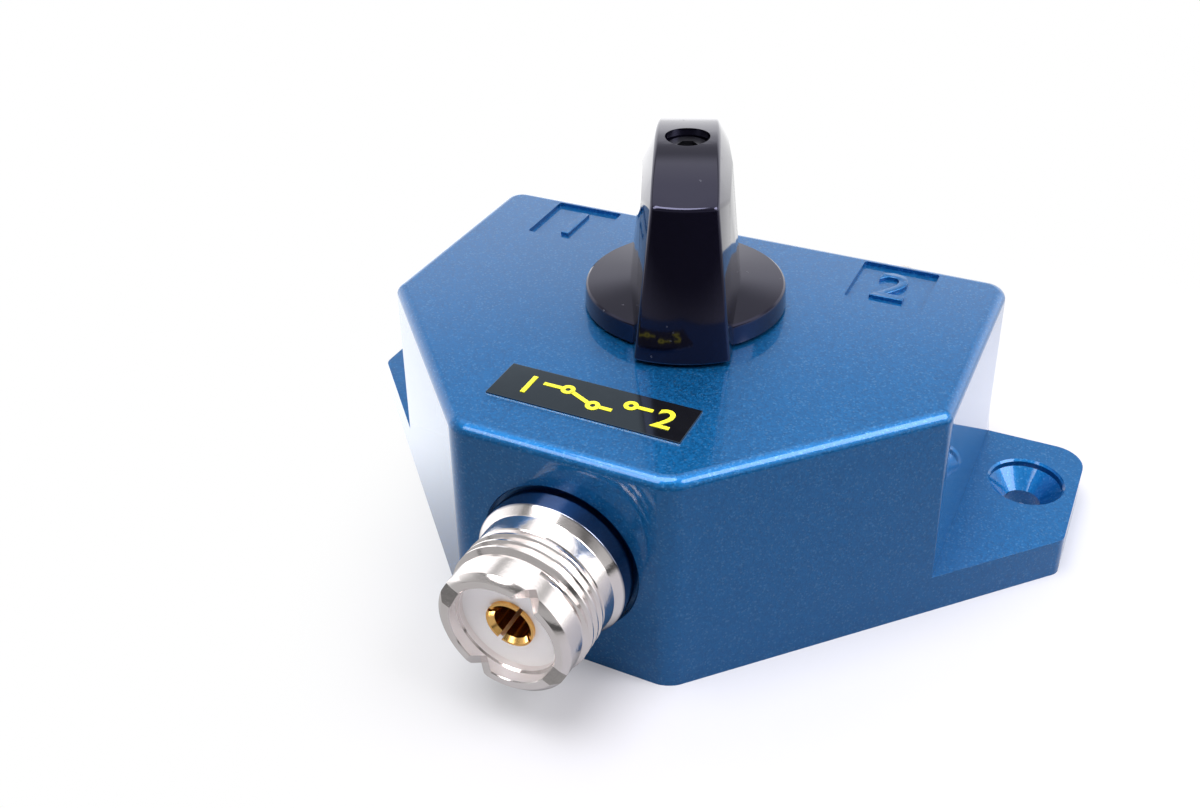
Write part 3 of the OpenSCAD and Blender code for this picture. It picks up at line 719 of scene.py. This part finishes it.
def make_shell_shape():
    """A socket's shell along +Z: shoulder, cone, neck, thread, lead and a notched rim."""
    root = THREAD_R - THREAD_DEPTH
    cone = SHOULDER_L + CONE_L
    bore = MOUTH_R - BORE_STEP
    seat = REACH - SEAT_D
    profile = [
        # The part in the wall, and the shoulder with its broken edge
        (STEP_R, -SHELL_IN), (SHOULDER_R, -SHELL_IN), (SHOULDER_R, 0.1), (FLANGE_R, 0.15),
        (FLANGE_R, SHOULDER_L - 0.15), (FLANGE_R - 0.06, SHOULDER_L - 0.04),
        (FLANGE_R - 0.18, SHOULDER_L + 0.04),
        # The cone and the neck that tapers towards the thread
        (THREAD_R + 0.12, cone - 0.08), (THREAD_R + 0.02, cone), (THREAD_R - 0.02, cone + 0.1),
        (THREAD_R - 0.17, THREAD_LOW - 0.12), (THREAD_R - 0.28, THREAD_LOW),
        # The root of the thread, and the lead before the bevelled rim
        (root, THREAD_LOW + 0.1), (root, THREAD_HIGH), (LEAD_R, THREAD_HIGH + 0.05),
        (LEAD_R, REACH - 0.62), (LEAD_R - 0.08, REACH - 0.50), (RIM_R + 0.05, REACH - 0.05),
        (RIM_R - 0.03, REACH),
        # The mouth and the bore that holds the insulator
        (MOUTH_R + 0.10, REACH), (MOUTH_R, REACH - 0.10), (MOUTH_R, seat), (bore, seat),
        (bore, STEP_Z), (STEP_R, STEP_Z),
    ]
    core = lathe(profile, SHELL_SIDES)
    notches = []
    half = NOTCH_W / math.sqrt(8)
    for k in range(4):
        wedge = slab(NOTCH_L, NOTCH_W / math.sqrt(2), -half, half)
        spot = (Matrix.Rotation(math.radians(NOTCH_ANGLE + 90 * k), 4, "Z")
                @ Matrix.Translation(((RIM_R + MOUTH_R) / 2, 0, REACH))
                @ Matrix.Rotation(math.radians(45), 4, "X"))
        notches.append(placed(wedge, spot))
    core = carve(core, notches)
    return joined(core, thread_ridge())


def make_shells(finish):
    names = {"common": "common_socket_shell", "socket_1": "socket_shell_1",
             "socket_2": "socket_shell_2"}
    shape = make_shell_shape()
    for key, place in socket_places().items():
        one = placed(shape.copy(), place)
        piece(names[key] + "_turned", one, finish, stands_for=[names[key]])
    shape.free()


def knob_points():
    """Corner points of the bar: foot and shoulder arcs, waist, and the arched top strip."""
    low = BODY_H + KNOB_GAP
    shoulder = KNOB_TOP - SHOULDER_DROP
    points = []
    arcs = ((BAR_R, BAR_FOOT_W / 2, low), (BAR_TOP_R, BAR_TOP_W / 2, shoulder))
    for radius, half_w, z in arcs:
        reach = math.asin(half_w / radius)
        for k in range(-6, 7):
            a = reach * k / 6
            x = radius * math.sin(a)
            y = radius * math.cos(a)
            points += [(x, y, z), (x, -y, z)]
    for side in (-1, 1):
        points.append((side * BAR_W / 2, 0, low))
        for y, narrower, drop in WAIST:
            x = side * (BAR_MID_W / 2 - narrower)
            points += [(x, y, KNOB_TOP - drop), (x, -y, KNOB_TOP - drop)]
    half_l = math.sqrt(BAR_TOP_R ** 2 - (BAR_TOP_W / 2) ** 2)
    arch_r = (half_l ** 2 + SHOULDER_DROP ** 2) / (2 * SHOULDER_DROP)
    for k in range(-11, 12):
        y = half_l * k / 12
        z = KNOB_TOP - arch_r + math.sqrt(arch_r ** 2 - y ** 2)
        points += [(side * BAR_TOP_W / 2, y, z) for side in (-1, 1)]
    return points


def make_knob(finish):
    low = BODY_H + KNOB_GAP
    bar = bmesh.new()
    for point in knob_points():
        bar.verts.new(point)
    bmesh.ops.convex_hull(bar, input=bar.verts)
    bmesh.ops.dissolve_limit(bar, angle_limit=math.radians(1.5), verts=bar.verts, edges=bar.edges)
    crisp = [e for e in bar.edges if len(e.link_faces) == 2
             and e.calc_face_angle(0.0) > math.radians(12)]
    round_edges(bar, crisp, KNOB_EDGE, 4)
    edge = SKIRT_R - SKIRT_TAPER
    top = low + SKIRT_H
    skirt = lathe([
        (0.0, low), (SKIRT_R, low), (edge, top - 0.4), (edge - 0.08, top - 0.15),
        (edge - 0.3, top), (SKIRT_CROWN_R, top + SKIRT_CROWN_H), (0.0, top + SKIRT_CROWN_H),
    ], 160)
    knob = carve(bar, [skirt], "UNION")
    knob = carve(knob, [
        rod(SCREW_HOLE_R, SCREW_HOLE_R, KNOB_TOP - SCREW_HOLE_D, KNOB_TOP + 5 * PAST),
        rod(RECESS_R, RECESS_R, low - PAST, low + RECESS_D),
        rod(SHAFT_HOLE_R, SHAFT_HOLE_R, low - PAST, low + SHAFT_HOLE_D),
    ])
    turn = Matrix.Translation((0, KNOB_Y, 0)) @ Matrix.Rotation(math.radians(THROW / 2), 4, "Z")
    piece("bar_knob", placed(knob, turn), finish, body="rotor",
          stands_for=["knob"], sharp=28)


def number_shape(text, height, half_t, soften):
    """A raised number, centred on the origin, with its edges softened by a bevel."""
    curve = bpy.data.curves.new("number", "FONT")
    curve.body = text
    curve.size = height / DIGIT_SHARE
    curve.align_x = "CENTER"
    curve.align_y = "CENTER"
    curve.extrude = half_t
    curve.bevel_depth = soften
    curve.bevel_resolution = 2
    shown = linked("number", curve)
    graph = bpy.context.evaluated_depsgraph_get()
    bm = bmesh.new()
    bm.from_mesh(shown.evaluated_get(graph).to_mesh())
    bpy.data.objects.remove(shown)
    bmesh.ops.remove_doubles(bm, verts=bm.verts, dist=1e-4)
    low = Vector([min(v.co[i] for v in bm.verts) for i in range(3)])
    high = Vector([max(v.co[i] for v in bm.verts) for i in range(3)])
    return placed(bm, Matrix.Translation(-(low + high) / 2))


def make_numbers(finish):
    """Raised numbers 1 and 2 on the two sunk pads."""
    for text, side in (("1", -1), ("2", 1)):
        spot = Matrix.Translation((side * PAD_X, PAD_Y, BODY_H - PAD_D + DIGIT_LIFT))
        bm = placed(number_shape(text, DIGIT_H, DIGIT_T, DIGIT_SOFT), spot)
        piece("number_" + text, bm, finish)


def symbol_shape():
    """The usual sign of a two-way switch: a lever, two contacts, their leads and numbers."""
    half = MARK_T / 2
    marks = bmesh.new()
    for text, x in MARK_DIGITS:
        digit = number_shape(text, MARK_H, half, MARK_SOFT)
        joined(marks, placed(digit, Matrix.Translation((x, 0, 0))))
    for x, y in MARK_RINGS:
        ring = lathe([(RING_HOLE_R, -half), (RING_R, -half), (RING_R, half),
                      (RING_HOLE_R, half)], 40)
        joined(marks, placed(ring, Matrix.Translation((x, y, 0))))
    for start, end in MARK_LINES:
        along = Vector(end) - Vector(start)
        middle = (Vector(start) + Vector(end)) / 2
        turn = Matrix.Rotation(math.atan2(along.y, along.x), 4, "Z")
        bar = slab(along.length, MARK_W, -half, half)
        joined(marks, placed(bar, Matrix.Translation((middle.x, middle.y, 0)) @ turn))
    return marks


def make_label(black, yellow, pale):
    """The plate with its sign, on a pale backing that shows as a thin line round it."""
    backing_top = BODY_H + BACKING_T
    plate = slab(LABEL_W, LABEL_H, backing_top, BODY_H + LABEL_T)
    upper = [e for e in plate.edges if min(v.co.z for v in e.verts) > BODY_H + LABEL_T - 0.1]
    posts = [e for e in plate.edges if abs(e.verts[0].co.z - e.verts[1].co.z) > 0.1]
    round_edges(plate, posts + upper, LABEL_EDGE, 2)
    spot = Matrix.Translation((LABEL_X, LABEL_Y, 0))
    piece("label_face", placed(plate, spot), black, stands_for=["label_plate"])
    backing = slab(LABEL_W, LABEL_H, BODY_H - BACKING_SUNK, backing_top)
    piece("label_backing", placed(backing, spot), pale)
    level = Matrix.Translation((LABEL_X, LABEL_Y, BODY_H + LABEL_T + MARK_T / 4))
    piece("label_symbol", placed(symbol_shape(), level), yellow)


# ---------------------------------------------------------------- stage, lights and camera

def make_stage():
    bm = bmesh.new()
    bmesh.ops.create_grid(bm, x_segments=2, y_segments=2, size=3.0)
    floor = linked("floor", mesh_of(bm, "floor"))
    floor.data.materials.append(floor_white())


def make_world():
    """White to the camera; in gloss, white behind the object and dim on the camera's side."""
    world = bpy.data.worlds.new("studio")
    bpy.context.scene.world = world
    w = Graph(world)
    heading = w.add("ShaderNodeTexCoord", out="Generated")
    camera = w.add("ShaderNodeLightPath", out="Is Camera Ray")
    seen = w.seen()
    side = w.part(heading, "Y")
    height = w.part(heading, "Z")
    share = (w.ramp(height, 0.25, 0.42, LOW_SHARE, 1.0)
             + w.ramp(height, 0.45, 0.57, 0.0, BAND_SHARE - 1.0)
             + w.ramp(height, 0.62, 0.74, 0.0, 1.0 - BAND_SHARE))
    # The window is high up, on the camera's left
    toward = w.add("ShaderNodeVectorMath", {"operation": "DOT_PRODUCT"},
                   {0: heading, 1: (-0.37, -0.57, 0.73)}, "Value")
    window = w.ramp(toward, 0.955, 0.985, 0.0, WINDOW)
    room = w.ramp(side, -0.7, 0.3, *ROOM) * share + window
    soft = w.ramp(side, -0.7, 0.3, *AMBIENT)
    level = seen * (room + camera * (1.0 - room)) + (1.0 - seen) * soft
    shine = w.add("ShaderNodeBackground", {}, {"Color": (1.0, 1.0, 1.0, 1.0), "Strength": level})
    w.add("ShaderNodeOutputWorld", {}, {"Surface": shine})


def make_lamp(name, place, target, size, power):
    lamp = bpy.data.lights.new(name, "AREA")
    lamp.shape = "DISK"
    lamp.size = size
    lamp.energy = power
    aim = Vector(target) - Vector(place)
    turn = aim.to_track_quat("-Z", "Y").to_matrix().to_4x4()
    linked(name, lamp).matrix_world = Matrix.Translation(place) @ turn


def make_camera():
    """The photograph's camera, found from the switch's own edges."""
    eye = Vector((48.25, -110.31, 100.42)) * MM
    azimuth = math.radians(27.15)
    elevation = math.radians(34.82)
    roll = math.radians(-1.82)
    focal_px = 1218.7
    forward = Vector((-math.sin(azimuth) * math.cos(elevation),
                      math.cos(azimuth) * math.cos(elevation), -math.sin(elevation)))
    lens = bpy.data.cameras.new("camera")
    lens.sensor_width = 36.0
    lens.lens = focal_px / IMAGE_W * lens.sensor_width
    lens.clip_start = 0.005
    camera = linked("camera", lens)
    look = forward.to_track_quat("-Z", "Y").to_matrix().to_4x4()
    camera.matrix_world = Matrix.Translation(eye) @ look @ Matrix.Rotation(roll, 4, "Z")
    bpy.context.scene.camera = camera


def dress(finishes):
    """Gives each CAD node the finish of its slot."""
    slots = {part["node"]: part["material_slot"] for part in frame["record"]["subparts"]}
    for name, node in frame["nodes"].items():
        node.data.materials.clear()
        node.data.materials.append(finishes[slots[name]])


# ---------------------------------------------------------------- the whole scene

silver = plain_metal("silver_plate", (0.86, 0.85, 0.81), (0.70, 0.68, 0.62), 0.15, 0.4)
finishes = {
    "blue_flake_paint": flake_paint(),
    "cover_metal": plain_metal("cover_aluminium", (0.72, 0.73, 0.75), (0.60, 0.61, 0.63), 0.3, 0.5),
    "screw_steel": plain_metal("zinc_steel", (0.60, 0.60, 0.62), (0.45, 0.45, 0.48), 0.22, 0.5),
    "label_black": label_gloss(),
    "nickel": bright_nickel(),
    "insulator": pale_insulator(),
    "gold": thin_gilt(),
    "silver_strip": silver,
    "bronze": plain_metal("sintered_bronze", (0.52, 0.36, 0.19), (0.40, 0.26, 0.13), 0.35, 0.4),
    "brass_parts": plain_metal("stamped_brass", (0.80, 0.62, 0.30), (0.66, 0.48, 0.22), 0.22, 0.4),
    "knob_black": polished_black(),
    "screw_black": plain_metal("black_oxide", (0.15, 0.15, 0.175), (0.10, 0.10, 0.12), 0.25, 0.3),
}

make_camera()
make_world()
make_stage()
make_lamp("overhead", (-0.04, -0.12, 0.60), (0, 0, 0), 0.40, 3.0)
make_lamp("right", (0.45, 0.0, 0.45), (0, 0, 0.02), 0.40, 3.2)
dress(finishes)
make_housing(finishes["blue_flake_paint"])
make_shells(finishes["nickel"])
make_knob(finishes["knob_black"])
make_numbers(finishes["blue_flake_paint"])
make_label(finishes["label_black"], label_yellow(), silver)

bpy.context.scene.view_settings.view_transform = "Standard"
